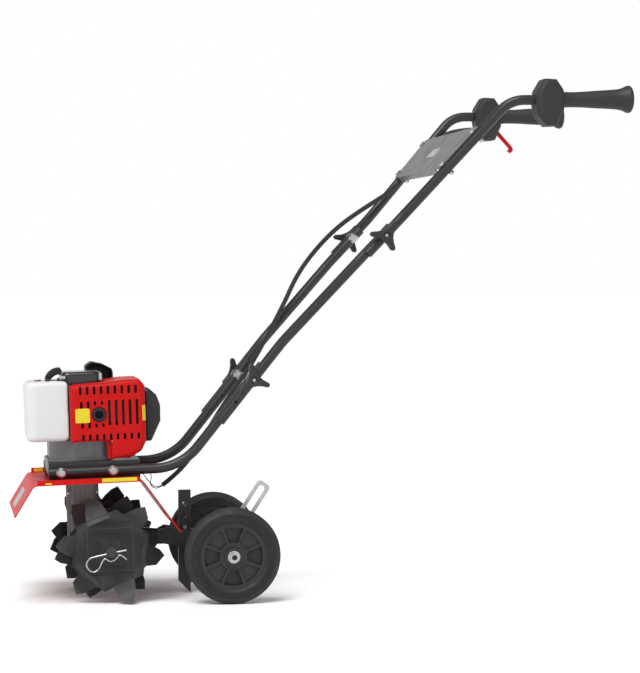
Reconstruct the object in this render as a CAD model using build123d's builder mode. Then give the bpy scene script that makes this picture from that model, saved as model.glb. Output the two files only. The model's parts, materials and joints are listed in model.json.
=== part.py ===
"""Two-stroke mini tiller: engine over a worm gearbox, four tine stars, transport wheels,
depth stake and a three-part folding handle. Millimetres, +Z up, +X towards the grips,
origin on the ground under the middle of the machine."""

import os
from math import atan2, cos, degrees, hypot, pi, radians, sin, tan

from build123d import *

os.makedirs("parts", exist_ok=True)

# ---------------------------------------------------------------- driving dimensions
TILT = 1.8  # the machine's own level leans this much on its wheels
TINE_X, TINE_Z = -398.5, 100.5  # tine axle
WHEEL_X, WHEEL_Z, WHEEL_Y = -172.0, 90.0, 150.0
WHEEL_R, RIM_R, TYRE_W = 90.0, 62.0, 38.0
TUBE_R, TUBE_WALL = 9.5, 1.5
LOWER_Y, MID_Y, MID_TOP_Y, UPPER_Y, GRIP_Y = 93.0, 117.0, 150.0, 174.0, 233.0
LOWER_KNOB = (-128.9, 418.9)  # x, z of the lower fold
UPPER_KNOB = (114.0, 691.3)  # x, z of the upper fold
BOLT_R = 3.0  # M6 carriage bolts
FIT = 0.05  # radial clearance of a running fit

DRIVE_X = -41.5  # vertical drive axis, in front of the tine axle
WORM_TEETH, MODULE = 30, 2.0
TUBE_Z = 148.0  # lower tubes above the tine axle
FENDER_Z, FENDER_HALF = 130.0, 140.0
SHEET = 2.0
DECK_Z, DECK_T = 162.0, 4.0
SHAFT_R = 6.0
AXLE_R = 10.0
CYL_Z = 259.0  # cylinder axis
STAKE_X, STAKE_W, STAKE_T = -246.0, 24.0, 5.0
PIVOT_X, PIVOT_Z = -290.0, 115.0  # wheel frame pivot
SIDES = {"left": -1, "right": 1}

lean = radians(TILT)
OWN_X = Vector(cos(lean), 0, sin(lean))
OWN_Z = Vector(-sin(lean), 0, cos(lean))
OWN = Plane(origin=(TINE_X, 0, TINE_Z), x_dir=OWN_X, z_dir=OWN_Z)


# ---------------------------------------------------------------- placing and saving
def level(x=0.0, y=0.0, z=0.0):
    """A plane square to the drive axis, at a point of the machine's own frame."""
    return Plane(origin=OWN.from_local_coords((x, y, z)), x_dir=OWN_X, z_dir=OWN_Z)


def upright(x=0.0, y=0.0, z=0.0):
    """A side-view plane facing -Y, at a point of the machine's own frame."""
    return Plane(origin=OWN.from_local_coords((x, y, z)), x_dir=OWN_X, z_dir=(0, -1, 0))


def endwise(x=0.0, y=0.0, z=0.0):
    """A plane facing rearward (+X of the machine's own frame), its own x along Y."""
    return Plane(origin=OWN.from_local_coords((x, y, z)), x_dir=(0, 1, 0), z_dir=OWN_X)


def side_view(x=0.0, y=0.0, z=0.0):
    """A side-view plane facing -Y, at a point of the ground frame."""
    return Plane(origin=(x, y, z), x_dir=(1, 0, 0), z_dir=(0, -1, 0))


def turned(plane, angle, about=None):
    """The plane turned about its own normal, or about another direction through its origin."""
    axis = Axis((0, 0, 0), about or plane.z_dir)
    x_dir, z_dir = plane.x_dir.rotate(axis, angle), plane.z_dir.rotate(axis, angle)
    return Plane(origin=plane.origin, x_dir=x_dir, z_dir=z_dir)


def save(builder, name):
    builder.part.label = name
    export_step(builder.part, f"parts/{name}.step")


def bar(plane, radius, length, mode=Mode.ADD):
    """A round bar from the plane along its normal."""
    with BuildSketch(plane) as end:
        Circle(radius)
    extrude(end.sketch, amount=length, mode=mode)


def box_between(x, y, z, mode=Mode.ADD):
    """A box in the machine's own frame, given three (low, high) pairs."""
    with BuildSketch(level((x[0] + x[1]) / 2, (y[0] + y[1]) / 2, z[0])) as base:
        Rectangle(x[1] - x[0], y[1] - y[0])
    extrude(base.sketch, amount=z[1] - z[0], mode=mode)


# ---------------------------------------------------------------- gearbox
CASE_R, CASE_HALF = 38.0, 24.0
COLUMN_LOW, COLUMN_W = -34.0, 46.0
BEARING_R, BEARING_W = 14.0, 8.0
DECK_BOLT_X, DECK_BOLT_Y = 34.0, 32.0
CASE_SCREWS = [(DRIVE_X - 27.5, 20), (DRIVE_X - 27.5, 100), (DRIVE_X + 27.5, 100), (32.4, -27.2),
               (-12.4, -40.4)]


def gearbox_half(side):
    depth_sign = -side  # the sketches face -Y
    with BuildPart() as half:
        with BuildSketch(upright()):
            Circle(CASE_R)
            with Locations((DRIVE_X, (COLUMN_LOW + DECK_Z) / 2)):
                Rectangle(COLUMN_W, DECK_Z - COLUMN_LOW)
            with Locations((CASE_R - 1, 14)):
                Rectangle(22, 40)
        extrude(amount=depth_sign * CASE_HALF)
        with BuildSketch(upright()):
            Circle(CASE_R + 8)
            with Locations((DRIVE_X, (COLUMN_LOW + FENDER_Z) / 2 - 6)):
                Rectangle(COLUMN_W + 16, FENDER_Z - COLUMN_LOW - 6)
        extrude(amount=depth_sign * 5)
        ribs = [(DRIVE_X + step * 9, side * (CASE_HALF + 1.5)) for step in (-2, -1, 0, 1, 2)]
        for x, y in ribs:
            box_between((x - 1.5, x + 1.5), sorted((y - 1.5 * side, y + 1.5 * side)), (44, 124))
        flange_y = sorted((0, side * (DECK_BOLT_Y + 8)))
        flange_x = (DRIVE_X - DECK_BOLT_X - 8, DRIVE_X + DECK_BOLT_X + 8)
        box_between(flange_x, flange_y, (DECK_Z - 8, DECK_Z))
        # wheel chamber, worm chamber and bearing seats
        with BuildSketch(upright()):
            Circle(CASE_R - 4)
        extrude(amount=depth_sign * 9, mode=Mode.SUBTRACT)
        bar(level(DRIVE_X, 0, -26), 15.5, 54, Mode.SUBTRACT)
        bar(level(DRIVE_X, 0, -26), 9.5, DECK_Z + 30, Mode.SUBTRACT)
        bar(level(DRIVE_X, 0, 126), BEARING_R, BEARING_W + 40, Mode.SUBTRACT)
        bar(level(DRIVE_X, 0, -34 + 3), BEARING_R, 10, Mode.SUBTRACT)
        bar(upright(), AXLE_R + 1.5, depth_sign * 40, Mode.SUBTRACT)
        bar(upright(0, side * 11), 17, depth_sign * 9, Mode.SUBTRACT)
        for end in (-1, 1):
            spot = level(DRIVE_X + end * DECK_BOLT_X, side * DECK_BOLT_Y, DECK_Z - 10)
            bar(spot, BOLT_R, 20, Mode.SUBTRACT)
        for x, z in CASE_SCREWS:
            bar(upright(x, 0, z), 2.0, depth_sign * 10, Mode.SUBTRACT)
    return half


for hand, side in SIDES.items():
    save(gearbox_half(side), f"gearbox_case_{hand}")

with BuildPart() as gearbox_bearings:
    for z in (-34 + 3.5, 126.5):
        bar(level(DRIVE_X, 0, z), BEARING_R - FIT, BEARING_W)
        bar(level(DRIVE_X, 0, z), SHAFT_R + FIT, BEARING_W, Mode.SUBTRACT)
    for y in (-11.5, 19.5):
        bar(upright(0, y), 17 - FIT, 8)
        bar(upright(0, y), AXLE_R + FIT, 8, Mode.SUBTRACT)
save(gearbox_bearings, "gearbox_bearings")

LEAD = pi * MODULE
THREAD_LEN = 6 * LEAD
with BuildPart() as worm_shaft:
    bar(level(DRIVE_X, 0, -30), SHAFT_R, 212)
    bar(level(DRIVE_X, 0, -THREAD_LEN / 2 - 3), 9.1, THREAD_LEN + 6)
    with BuildLine(level(DRIVE_X, 0, -THREAD_LEN / 2)) as path:
        Helix(pitch=LEAD, height=THREAD_LEN, radius=9.6)
    with BuildSketch(Plane(origin=path.line @ 0, x_dir=-(OWN_X), z_dir=path.line % 0)):
        with Locations((-1.45, 0)):
            Trapezoid(3.6, 4.5, 72, rotation=90)
    sweep(path=path.line, is_frenet=True)
save(worm_shaft, "worm_shaft")

WHEEL_TIP_R, WHEEL_ROOT_R = 31.7, 27.1
WHEEL_PHASE = 6.6  # a tooth stands in the worm's gap at rest
with BuildSketch() as wheel_tooth:
    with BuildLine():
        Polyline((WHEEL_ROOT_R - 1, -1.6), (30, -0.95), (WHEEL_TIP_R, -0.5), (WHEEL_TIP_R, 0.5),
                 (30, 0.95), (WHEEL_ROOT_R - 1, 1.6), close=True)
    make_face()
with BuildPart() as worm_wheel:
    with BuildSketch(upright(0, 6)):
        Circle(WHEEL_ROOT_R)
        with PolarLocations(0, WORM_TEETH, start_angle=WHEEL_PHASE):
            add(wheel_tooth.sketch)
        Circle(AXLE_R, mode=Mode.SUBTRACT)
    extrude(amount=12)
save(worm_wheel, "worm_wheel")

# ---------------------------------------------------------------- tine axle and tines
TINE_T = 3.0
TINE_PLACES = {"outer_left": -118.0, "inner_left": -62.0, "inner_right": 62.0, "outer_right": 118.0}
TINE_PHASE = {"outer_left": -68.0, "inner_left": -50.0, "inner_right": -72.0, "outer_right": -48.0}
BLADES, BLADE_ROOT, BLADE_BEND = 6, 66.0, 28.0
HUB_R, HUB_LEN = 15.0, 28.0
PRESSED_SQUARE = (56.0, 50.0)
GROOVE_HEIGHTS, GROOVE_LENGTH = (32.0, -29.0), 66.0
AXLE_HALF, PIN_Y = 146.0, 139.0

with BuildPart() as tine_axle:
    bar(side_view(TINE_X, AXLE_HALF, TINE_Z), AXLE_R, 2 * AXLE_HALF)
    for y in (-PIN_Y, PIN_Y):
        bar(Plane(origin=(TINE_X - 12, y, TINE_Z), z_dir=(1, 0, 0)), 2.6, 24, Mode.SUBTRACT)
save(tine_axle, "tine_axle")


def tine_star(place, phase):
    """A pressed star: a lobed plate on a hub, its blades bent to one side and the other in turn."""
    inward = -1 if place > 0 else 1
    with BuildPart() as star:
        face = turned(side_view(TINE_X, place + TINE_T / 2, TINE_Z), phase)
        with BuildSketch(face):
            RegularPolygon(78, 6, rotation=30)
            RectangleRounded(112, 112, 14)
        extrude(amount=TINE_T)
        for blade in range(BLADES):
            radial = turned(face.offset(TINE_T / 2), blade * 360 / BLADES)
            root = Plane(origin=radial.origin + radial.x_dir * BLADE_ROOT, x_dir=radial.x_dir,
                         z_dir=radial.z_dir)
            bend = BLADE_BEND if blade % 2 else -BLADE_BEND
            with BuildSketch(turned(root, bend, root.y_dir)) as outline:
                with BuildLine():
                    Polyline((-9, -23), (27, -18), (43, 1), (31, 11), (12, 19), (-9, 23), close=True)
                make_face()
            extrude(outline.sketch, amount=TINE_T / 2, both=True)
        outer_face = face.offset(TINE_T if place < 0 else 0)
        pressed = 1.0 if place < 0 else -1.0
        with BuildSketch(turned(outer_face, -phase)) as square:
            RectangleRounded(*PRESSED_SQUARE, 7)
            RectangleRounded(PRESSED_SQUARE[0] - 5, PRESSED_SQUARE[1] - 5, 5, mode=Mode.SUBTRACT)
        extrude(square.sketch, amount=pressed)
        with BuildSketch(turned(outer_face, -phase)) as grooves:
            for height in GROOVE_HEIGHTS:
                with Locations((-4, height)):
                    SlotOverall(GROOVE_LENGTH, 5)
        extrude(grooves.sketch, amount=-pressed * 1.2, mode=Mode.SUBTRACT)
        hub_top = max(place, place + inward * HUB_LEN)
        bar(side_view(TINE_X, hub_top, TINE_Z), HUB_R, HUB_LEN)
        bar(side_view(TINE_X, place + 60, TINE_Z), AXLE_R, 120, Mode.SUBTRACT)
    return star


for name, place in TINE_PLACES.items():
    save(tine_star(place, TINE_PHASE[name]), f"tine_{name}")

with BuildPart() as tine_pins:
    for y in (-PIN_Y, PIN_Y):
        bar(Plane(origin=(TINE_X - 16, y, TINE_Z), z_dir=(1, 0, 0)), 2.4, 32)
save(tine_pins, "tine_pins")

# ---------------------------------------------------------------- frame and fender
FRAME_BOLTS = (-85.0, 12.0)
DECK_X = (-108.0, 64.0)
FLANGE_Y = LOWER_Y - TUBE_R - 0.2

with BuildPart() as engine_bracket:
    box_between(DECK_X, (-FLANGE_Y, FLANGE_Y), (DECK_Z, DECK_Z + DECK_T))
    for side in (-1, 1):
        box_between(DECK_X, sorted((side * FLANGE_Y, side * (FLANGE_Y - 3))),
                    (FENDER_Z + 1.2, DECK_Z))
        box_between(DECK_X, sorted((side * (FLANGE_Y - 18), side * (FLANGE_Y - 3))),
                    (FENDER_Z + 1.2, FENDER_Z + 4.2))
    box_between((DECK_X[0], DECK_X[0] + 4), (-FLANGE_Y, FLANGE_Y), (DECK_Z - 20, DECK_Z))
    bar(level(DRIVE_X, 0, DECK_Z), 20, DECK_T, Mode.SUBTRACT)
    for side in (-1, 1):
        for x in FRAME_BOLTS:
            bar(upright(x, side * FLANGE_Y + 5, TUBE_Z), BOLT_R, 10, Mode.SUBTRACT)
            bar(level(x, side * (FLANGE_Y - 10), FENDER_Z), BOLT_R, 8, Mode.SUBTRACT)
        for end in (-1, 1):
            spot = level(DRIVE_X + end * DECK_BOLT_X, side * DECK_BOLT_Y, DECK_Z)
            bar(spot, BOLT_R, DECK_T, Mode.SUBTRACT)
save(engine_bracket, "engine_bracket")

FENDER_NOTCH_X = (108.0, 140.0)
FENDER_LINE = [(-176.0, 72.7), (-138.9, FENDER_Z), (63.3, FENDER_Z), (131.4, 30.7)]
with BuildPart() as fender:
    with BuildSketch(upright()):
        with BuildLine() as spine:
            FilletPolyline(*FENDER_LINE, radius=12)
        trace(spine.line, line_width=SHEET)
    extrude(amount=FENDER_HALF, both=True)
    for side in (-1, 1):
        box_between((-132, 56), sorted((side * FENDER_HALF, side * (FENDER_HALF - SHEET))),
                    (FENDER_Z, FENDER_Z + 9))
    box_between((DRIVE_X - 32, DRIVE_X + 32), (-34, 34), (FENDER_Z - 5, FENDER_Z + 5),
                Mode.SUBTRACT)
    box_between(FENDER_NOTCH_X, (-28, 28), (20, 56), Mode.SUBTRACT)  # lets the wheel frame swing up
    for side in (-1, 1):
        for x in FRAME_BOLTS:
            bar(level(x, side * (FLANGE_Y - 10), FENDER_Z - 4), BOLT_R, 8, Mode.SUBTRACT)
save(fender, "fender")

# ---------------------------------------------------------------- handle tubes
MID_LINE = [(-192.0, 340.0), (-72.0, 490.0), (66.0, 641.0), (130.0, 708.0)]
UPPER_LINE = [(150.0, 729.0), (341.0, 944.0), (562.0, 948.2)]
BEND_R = 60.0


def toward(start, end):
    """Unit step from one (x, z) point to another."""
    run = hypot(end[0] - start[0], end[1] - start[1])
    return (end[0] - start[0]) / run, (end[1] - start[1]) / run


LOWER_DIR = toward(MID_LINE[0], MID_LINE[1])
MID_TOP_DIR = toward(MID_LINE[2], MID_LINE[3])


def along(point, direction, distance):
    return point[0] + direction[0] * distance, point[1] + direction[1] * distance


def tube(points, radii):
    """A round tube along straight runs joined by arcs."""
    with BuildLine() as line:
        FilletPolyline(*points, radius=radii)
    with BuildSketch(Plane(origin=line.line @ 0, z_dir=line.line % 0)) as ring:
        Circle(TUBE_R)
        Circle(TUBE_R - TUBE_WALL, mode=Mode.SUBTRACT)
    sweep(ring.sketch, path=line.line)


def lower_corner():
    """Where the flat run of the lower tube meets its rising run."""
    flat = OWN.from_local_coords((0, 0, TUBE_Z))
    slope = LOWER_DIR[1] / LOWER_DIR[0]
    x = (LOWER_KNOB[1] - flat.Z - LOWER_KNOB[0] * slope + flat.X * tan(lean)) / (tan(lean) - slope)
    return x, LOWER_KNOB[1] + (x - LOWER_KNOB[0]) * slope


def cross_hole(x, z, y, radius):
    """A bolt hole along Y through a tube."""
    bar(side_view(x, y + TUBE_R + 3, z), radius, 2 * TUBE_R + 6, Mode.SUBTRACT)


HOLE_STEP = 53.0
UPPER_DIR = toward(UPPER_LINE[0], UPPER_LINE[1])
SPLAY = (GRIP_Y - UPPER_Y) / hypot(UPPER_LINE[1][0] - UPPER_LINE[0][0],
                                  UPPER_LINE[1][1] - UPPER_LINE[0][1])
PLATE_BOLTS = (118.0, 199.0)  # distances up the splayed run


def lower_tube(side):
    y = side * LOWER_Y
    front = OWN.from_local_coords((DECK_X[0] - 1, 0, TUBE_Z))
    corner = lower_corner()
    end = along(LOWER_KNOB, LOWER_DIR, 35)
    with BuildPart() as piece:
        tube([(front.X, y, front.Z), (corner[0], y, corner[1]), (end[0], y, end[1])], 110)
        for x in FRAME_BOLTS:
            bar(upright(x, y + TUBE_R + 3, TUBE_Z), BOLT_R, 2 * TUBE_R + 6, Mode.SUBTRACT)
        cross_hole(*LOWER_KNOB, y, BOLT_R)
        cross_hole(*along(LOWER_KNOB, LOWER_DIR, -HOLE_STEP), y, BOLT_R)
    return piece


def mid_tube(side):
    ys = (MID_Y, MID_Y, MID_TOP_Y, MID_TOP_Y)
    points = [(x, side * y, z) for (x, z), y in zip(MID_LINE, ys)]
    with BuildPart() as piece:
        tube(points, 120)
        cross_hole(*LOWER_KNOB, side * MID_Y, BOLT_R + 0.1)
        cross_hole(*along(LOWER_KNOB, LOWER_DIR, -HOLE_STEP), side * MID_Y, BOLT_R)
        cross_hole(*UPPER_KNOB, side * MID_TOP_Y, BOLT_R)
    return piece


def splayed(distance, side, lift=0.0):
    """A point of the upper tube's splayed run, lifted square to the handle's plane."""
    x, z = along(UPPER_LINE[0], UPPER_DIR, distance)
    y = side * (UPPER_Y + SPLAY * distance)
    return x - UPPER_DIR[1] * lift, y, z + UPPER_DIR[0] * lift


def plate_bolt_plane(distance, side, lift):
    normal = (-UPPER_DIR[1], 0, UPPER_DIR[0])
    return Plane(origin=splayed(distance, side, lift), x_dir=(0, 1, 0), z_dir=normal)


def upper_tube(side):
    start = along(UPPER_KNOB, MID_TOP_DIR, -48)
    points = [(start[0], side * UPPER_Y, start[1])]
    points.append((UPPER_LINE[0][0], side * UPPER_Y, UPPER_LINE[0][1]))
    points.extend((x, side * GRIP_Y, z) for x, z in UPPER_LINE[1:])
    with BuildPart() as piece:
        tube(points, BEND_R)
        cross_hole(*UPPER_KNOB, side * UPPER_Y, BOLT_R + 0.1)
        for distance in PLATE_BOLTS:
            bar(plate_bolt_plane(distance, side, -13), 2.5, 26, Mode.SUBTRACT)
    return piece


for hand, side in SIDES.items():
    save(lower_tube(side), f"lower_tube_{hand}")
    save(mid_tube(side), f"mid_tube_{hand}")
    save(upper_tube(side), f"upper_tube_{hand}")

# ---------------------------------------------------------------- knobs and their bolts
KNOB_T, KNOB_REACH = 15.0, 32.0


def dome_head(plane):
    """The domed head of a carriage bolt, rising from the plane."""
    with BuildSketch(plane) as rim:
        Circle(10)
    extrude(rim.sketch, amount=4.6, taper=38)


def carriage_bolt(x, z, y_head, y_end, own_frame=False):
    """Head at one end of a bar along Y; the head faces away from y_end."""
    way = 1 if y_end > y_head else -1
    if own_frame:
        origin = OWN.from_local_coords((x, y_head, z))
    else:
        origin = Vector(x, y_head, z)
    bar(Plane(origin=origin, z_dir=(0, way, 0)), BOLT_R, abs(y_end - y_head))
    dome_head(Plane(origin=origin, z_dir=(0, -way, 0)))


def nut(plane, across, thickness):
    with BuildSketch(plane) as hexagon:
        RegularPolygon(across / 2, 6, major_radius=False)
    extrude(hexagon.sketch, amount=thickness)


KNOB_GAP = 1.5
with BuildPart() as frame_bolts:
    for side in (-1, 1):
        for x in FRAME_BOLTS:
            carriage_bolt(x, TUBE_Z, side * (LOWER_Y + TUBE_R), side * 70, own_frame=True)
            nut(Plane(origin=OWN.from_local_coords((x, side * (FLANGE_Y - 3.2), TUBE_Z)),
                      z_dir=(0, -side, 0)), 10, 5)
            spot = (x, side * (FLANGE_Y - 10))
            bar(level(*spot, FENDER_Z - 1), BOLT_R, 10)
            nut(level(*spot, FENDER_Z - 6), 10, 5)
            nut(level(*spot, FENDER_Z + 4.3), 10, 5)
        carriage_bolt(*LOWER_KNOB, side * (LOWER_Y - TUBE_R),
                      side * (MID_Y + TUBE_R + KNOB_GAP + 10))
        for end in (-1, 1):
            spot = (DRIVE_X + end * DECK_BOLT_X, side * DECK_BOLT_Y)
            bar(level(*spot, DECK_Z - 14), BOLT_R, 28)
            nut(level(*spot, DECK_Z - 13.2), 10, 5)
            nut(level(*spot, DECK_Z + 10.2), 10, 4)
    for x, z in CASE_SCREWS:
        bar(upright(x, 12, z), 2.0, 22)
        bar(upright(x, 12, z), 3.3, 6.8)
save(frame_bolts, "frame_bolts")

with BuildPart() as fold_hardware:
    folds = ((LOWER_KNOB, (LOWER_Y + MID_Y) / 2), (UPPER_KNOB, (MID_TOP_Y + UPPER_Y) / 2))
    for (x, z), y in folds:
        for side in (-1, 1):
            saddle = side_view(x, side * y + 2.1, z)
            bar(saddle, 11, 4.2)
            bar(saddle, BOLT_R + 0.2, 4.2, Mode.SUBTRACT)
    for side in (-1, 1):
        carriage_bolt(*UPPER_KNOB, side * (MID_TOP_Y - TUBE_R),
                      side * (UPPER_Y + TUBE_R + KNOB_GAP + 10))
save(fold_hardware, "fold_hardware")


with BuildSketch() as knob_lobe:
    with BuildLine():
        Polyline((6, -10), (17, -6.2), (KNOB_REACH - 3, -4.4), (KNOB_REACH, 0),
                 (KNOB_REACH - 3, 4.4), (17, 6.2), (6, 10), close=True)
    make_face()


def knob(x, z, y_inner, side, turn):
    """A moulded three-lobed wing nut."""
    face = Plane(origin=(x, y_inner, z), x_dir=(1, 0, 0), z_dir=(0, side, 0))
    face = turned(face, turn)
    with BuildPart() as piece:
        with BuildSketch(face):
            Circle(12.5)
            with PolarLocations(0, 3):
                add(knob_lobe.sketch)
        extrude(amount=KNOB_T)
        outer_face = piece.faces().sort_by(Axis((0, 0, 0), face.z_dir))[-1]
        fillet(outer_face.outer_wire().edges(), 1.6)
        bar(face, BOLT_R + FIT, KNOB_T, Mode.SUBTRACT)
        bar(face.offset(KNOB_T - 3), 6, 3, Mode.SUBTRACT)
    return piece


for hand, side in SIDES.items():
    mirror_turn = 20 if side > 0 else -20
    save(knob(*LOWER_KNOB, side * (MID_Y + TUBE_R + KNOB_GAP), side, mirror_turn),
         f"lower_knob_{hand}")
    save(knob(*UPPER_KNOB, side * (UPPER_Y + TUBE_R + KNOB_GAP), side, side * 65),
         f"upper_knob_{hand}")

# ---------------------------------------------------------------- handle plate, grips, trigger
PLATE_RUN = (107.0, 212.0)
TRIGGER_PIVOT = (421.0, 921.0)
with BuildPart() as handle_plate:
    plate_plane = plate_bolt_plane(0, 0, TUBE_R + 0.3)
    half_low, half_high = (UPPER_Y + SPLAY * run + 4 for run in PLATE_RUN)
    plate_plane = Plane(origin=plate_plane.origin - Vector(0, plate_plane.origin.Y, 0),
                        x_dir=(0, 1, 0), z_dir=plate_plane.z_dir)
    uphill = 1 if plate_plane.y_dir.Z > 0 else -1
    with BuildSketch(plate_plane):
        with BuildLine():
            Polyline((-half_low, uphill * PLATE_RUN[0]), (half_low, uphill * PLATE_RUN[0]),
                     (half_high, uphill * PLATE_RUN[1]), (-half_high, uphill * PLATE_RUN[1]),
                     close=True)
        make_face()
    extrude(amount=SHEET)
    lip_origin = plate_plane.origin + plate_plane.y_dir * uphill * PLATE_RUN[0]
    lip = Plane(origin=lip_origin, x_dir=(0, 1, 0), z_dir=plate_plane.y_dir * -uphill)
    with BuildSketch(lip):
        with Locations((0, (SHEET / 2 - 5) * (1 if lip.y_dir.Z > 0 else -1))):
            Rectangle(2 * (UPPER_Y + SPLAY * PLATE_RUN[0] - TUBE_R - 16), 10 + SHEET)
    extrude(amount=SHEET)
    for distance in PLATE_BOLTS:
        for side in (-1, 1):
            bar(plate_bolt_plane(distance, side, TUBE_R), 2.5, 6, Mode.SUBTRACT)
save(handle_plate, "handle_plate")

with BuildPart() as handle_fasteners:
    for distance in PLATE_BOLTS:
        for side in (-1, 1):
            bar(plate_bolt_plane(distance, side, -TUBE_R - 6), 2.5, 2 * TUBE_R + 10)
            bar(plate_bolt_plane(distance, side, TUBE_R + 0.4 + SHEET), 7, 3)
            nut(plate_bolt_plane(distance, side, -TUBE_R - 5), 9, 4.5)
    bar(side_view(TRIGGER_PIVOT[0], GRIP_Y + 11.8, TRIGGER_PIVOT[1]), 1.98, 23.6)
save(handle_fasteners, "handle_fasteners")

GUARD = [(402.0, 984.0), (426.0, 983.0), (440.0, 963.0), (441.0, 926.0), (428.0, 896.0),
         (408.0, 895.0), (391.0, 914.0), (386.0, 938.0), (388.0, 961.0)]
GUARD_HALF = 26.0
GRIP_END = 576.5
GRIP_OUTLINE = [(436.0, 15.5), (470.0, 14.6), (515.0, 17.2), (545.0, 19.0), (562.0, 23.0),
                (569.0, 26.0), (574.5, 25.0), (GRIP_END, 21.0)]


def grip_axis(x):
    """Height of the grip's axis at x: it follows the tube's last run."""
    (x0, z0), (x1, z1) = UPPER_LINE[1], UPPER_LINE[2]
    return z0 + (x - x0) * (z1 - z0) / (x1 - x0)


def grip(side):
    y = side * GRIP_Y
    with BuildPart() as piece:
        with BuildSketch(side_view(0, y, 0)):
            with BuildLine():
                Polyline(*GUARD, close=True)
            make_face()
        extrude(amount=GUARD_HALF, both=True)
        rims = piece.faces().filter_by(Axis.Y)
        chamfer(rims.edges(), 7)
        tail = Plane(origin=(0, y, grip_axis(0)), x_dir=(1, 0, 0), z_dir=(0, -1, 0))
        tail = turned(tail, degrees(atan2(grip_axis(1) - grip_axis(0), 1)))
        with BuildSketch(tail):
            with BuildLine():
                Spline(*[(x, r) for x, r in GRIP_OUTLINE[:-1]])
                Polyline(GRIP_OUTLINE[-2], GRIP_OUTLINE[-1], (GRIP_END, 0), (GRIP_OUTLINE[0][0], 0),
                         GRIP_OUTLINE[0])
            make_face()
        revolve(axis=Axis(tail.origin, tail.x_dir))
        bore = Plane(origin=(370, y, grip_axis(370)), z_dir=tail.x_dir)
        bar(bore, TUBE_R + 0.02, UPPER_LINE[2][0] - 370 + 1, Mode.SUBTRACT)
        if side > 0:
            with BuildSketch(side_view(TRIGGER_PIVOT[0], y, TRIGGER_PIVOT[1])):
                Circle(9.5)
                with BuildLine():
                    Polyline((-9, 0), (9, 9), (60, -8), (60, -80), (-9, -60), close=True)
                make_face()
            extrude(amount=4.6, both=True, mode=Mode.SUBTRACT)
            bar(side_view(TRIGGER_PIVOT[0], y + 12, TRIGGER_PIVOT[1]), 2.0, 24, Mode.SUBTRACT)
    return piece


for hand, side in SIDES.items():
    save(grip(side), f"grip_{hand}")

with BuildPart() as throttle_trigger:
    with BuildSketch(side_view(TRIGGER_PIVOT[0], GRIP_Y, TRIGGER_PIVOT[1])):
        Circle(7)
        with BuildLine():
            Polyline((-5, -5), (3, 6.5), (20, -8), (47, -38), (49.5, -44), (44, -51), (38, -47),
                     (41, -41), (14, -12), close=True)
        make_face()
        Circle(2.0 + FIT, mode=Mode.SUBTRACT)
    extrude(amount=4.0, both=True)
    fillet(throttle_trigger.edges().filter_by(Axis.Y, reverse=True).group_by(Axis.Z)[0], 0.8)
save(throttle_trigger, "throttle_trigger")

# ---------------------------------------------------------------- wheels and their frame
WHEEL_AXLE_R = 6.0
SLEEVE_R, SLEEVE_HALF = 10.0, 128.0
ARM_Y = 17.0
with BuildPart() as wheel_bracket:
    for side in (-1, 1):
        with BuildSketch(side_view(0, side * (ARM_Y + 2) + 2, 0)) as cheek:
            with BuildLine():
                Polyline((PIVOT_X - 10, PIVOT_Z - 9), (PIVOT_X + 4, PIVOT_Z - 16), (WHEEL_X, WHEEL_Z - 15),
                         (WHEEL_X + 13, WHEEL_Z - 8), (WHEEL_X + 13, WHEEL_Z + 8),
                         (WHEEL_X - 4, WHEEL_Z + 24), (PIVOT_X + 6, PIVOT_Z + 17),
                         (PIVOT_X - 10, PIVOT_Z + 9), close=True)
            make_face()
        extrude(amount=4)
    with BuildSketch(side_view(WHEEL_X, SLEEVE_HALF, WHEEL_Z)):
        Circle(SLEEVE_R)
    extrude(amount=2 * SLEEVE_HALF)
    bar(side_view(WHEEL_X, SLEEVE_HALF, WHEEL_Z), WHEEL_AXLE_R, 2 * SLEEVE_HALF, Mode.SUBTRACT)
    bar(side_view(PIVOT_X, ARM_Y + 6, PIVOT_Z), 4 + FIT, 2 * ARM_Y + 12, Mode.SUBTRACT)
save(wheel_bracket, "wheel_bracket")

with BuildPart() as wheel_axle:
    bar(side_view(WHEEL_X, 178, WHEEL_Z), WHEEL_AXLE_R, 356)
    for side in (-1, 1):
        outer = Plane(origin=(WHEEL_X, side * 171.2, WHEEL_Z), z_dir=(0, side, 0))
        bar(outer, 11.5, 1.6)
        nut(outer.offset(1.6), 16, 6)
        bar(outer.offset(7.6), 7, 1.6)
save(wheel_axle, "wheel_axle")


def polar(radius, angle):
    return radius * cos(radians(angle)), radius * sin(radians(angle))


with BuildSketch() as wheel_pocket:
    with BuildLine():
        ThreePointArc(polar(26, -18), polar(26, 0), polar(26, 18))
        Line(polar(26, 18), polar(RIM_R - 7, 20))
        ThreePointArc(polar(RIM_R - 7, 20), polar(RIM_R - 7, 0), polar(RIM_R - 7, -20))
        Line(polar(RIM_R - 7, -20), polar(26, -18))
    make_face()


def wheel(side):
    """A moulded rim: hub, web and eight pockets on each face, deep and shallow in turn."""
    centre = Plane(origin=(WHEEL_X, side * WHEEL_Y, WHEEL_Z), x_dir=(1, 0, 0), z_dir=(0, -1, 0))
    half = TYRE_W / 2
    with BuildPart() as rim:
        with BuildSketch(centre):
            Circle(RIM_R)
        extrude(amount=half - 5, both=True)
        with BuildSketch(centre):
            Circle(17)
        extrude(amount=half + 2, both=True)
        for face_side in (-1, 1):
            for depth, first in ((4, 0), (9, 45)):
                face = centre.offset(face_side * depth)
                with BuildSketch(face) as pockets:
                    with PolarLocations(0, 4, start_angle=first):
                        add(wheel_pocket.sketch)
                extrude(pockets.sketch, amount=face_side * 20, mode=Mode.SUBTRACT)
        bar(centre.offset(-40), WHEEL_AXLE_R + FIT, 80, Mode.SUBTRACT)
    return rim


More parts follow.
